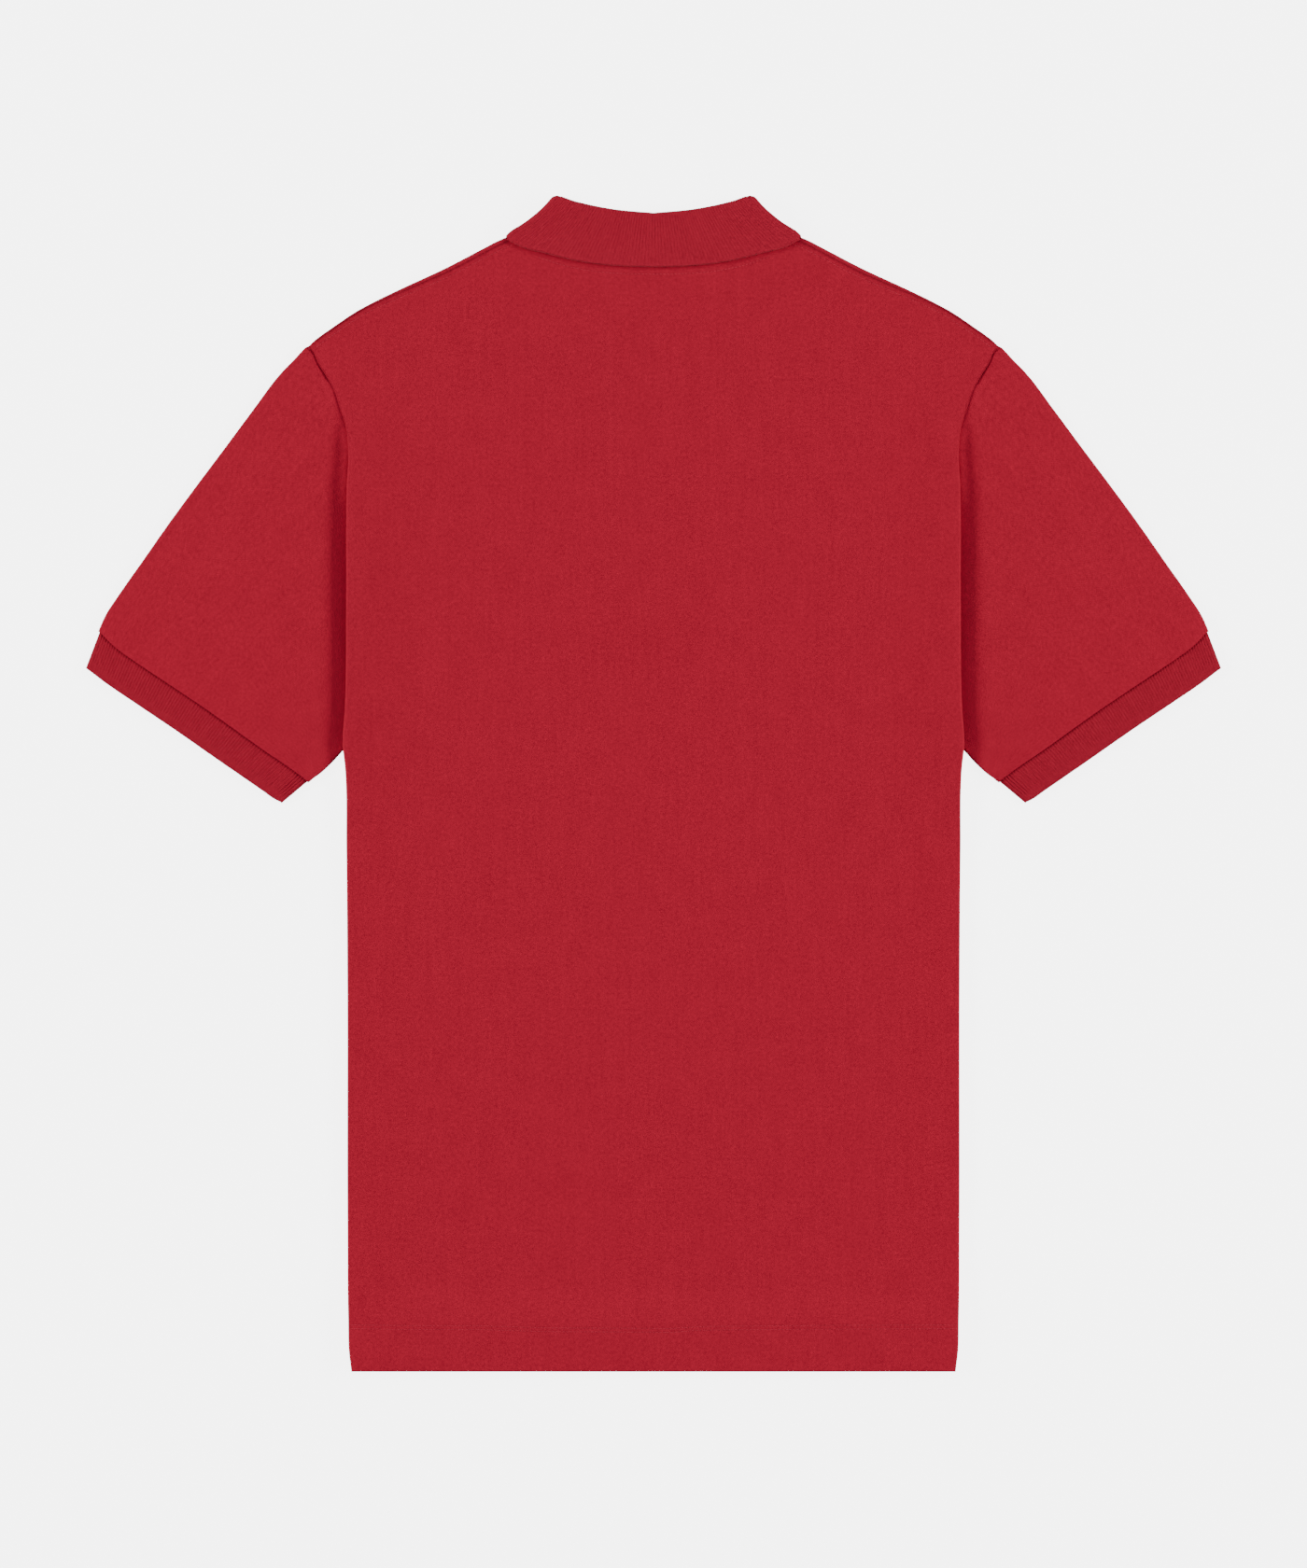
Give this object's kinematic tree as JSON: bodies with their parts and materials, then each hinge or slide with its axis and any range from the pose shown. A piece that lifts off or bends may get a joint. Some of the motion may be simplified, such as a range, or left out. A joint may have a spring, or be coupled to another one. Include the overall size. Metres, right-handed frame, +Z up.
{
  "type": "polo shirt",
  "caption": "Short-sleeved knitted polo shirt laid flat with its back up, with ribbed folded collar, ribbed cuffs and a buttoned placket face down.",
  "frame": {"origin": "middle of the shirt's outline, on the surface that it lies on", "axes": "+Z up from the surface, +Y from the hem to the collar, +X to the right as seen from above"},
  "size_m": [0.7282, 0.7548, 0.0067],
  "materials": {
    "pique": "fine cotton pique knit, matt, deep red",
    "rib": "cotton rib knit, matt, deep red",
    "button": "polished polyester resin, red"
  },
  "bodies": {
    "root": {"back": "pique", "front": "pique", "sleeve_left": "pique", "sleeve_right": "pique", "cuff_left": "rib", "cuff_right": "rib", "collar": "rib", "placket_over": "pique", "placket_under": "pique", "button_1": "button", "button_2": "button"}
  },
  "joints": []
}
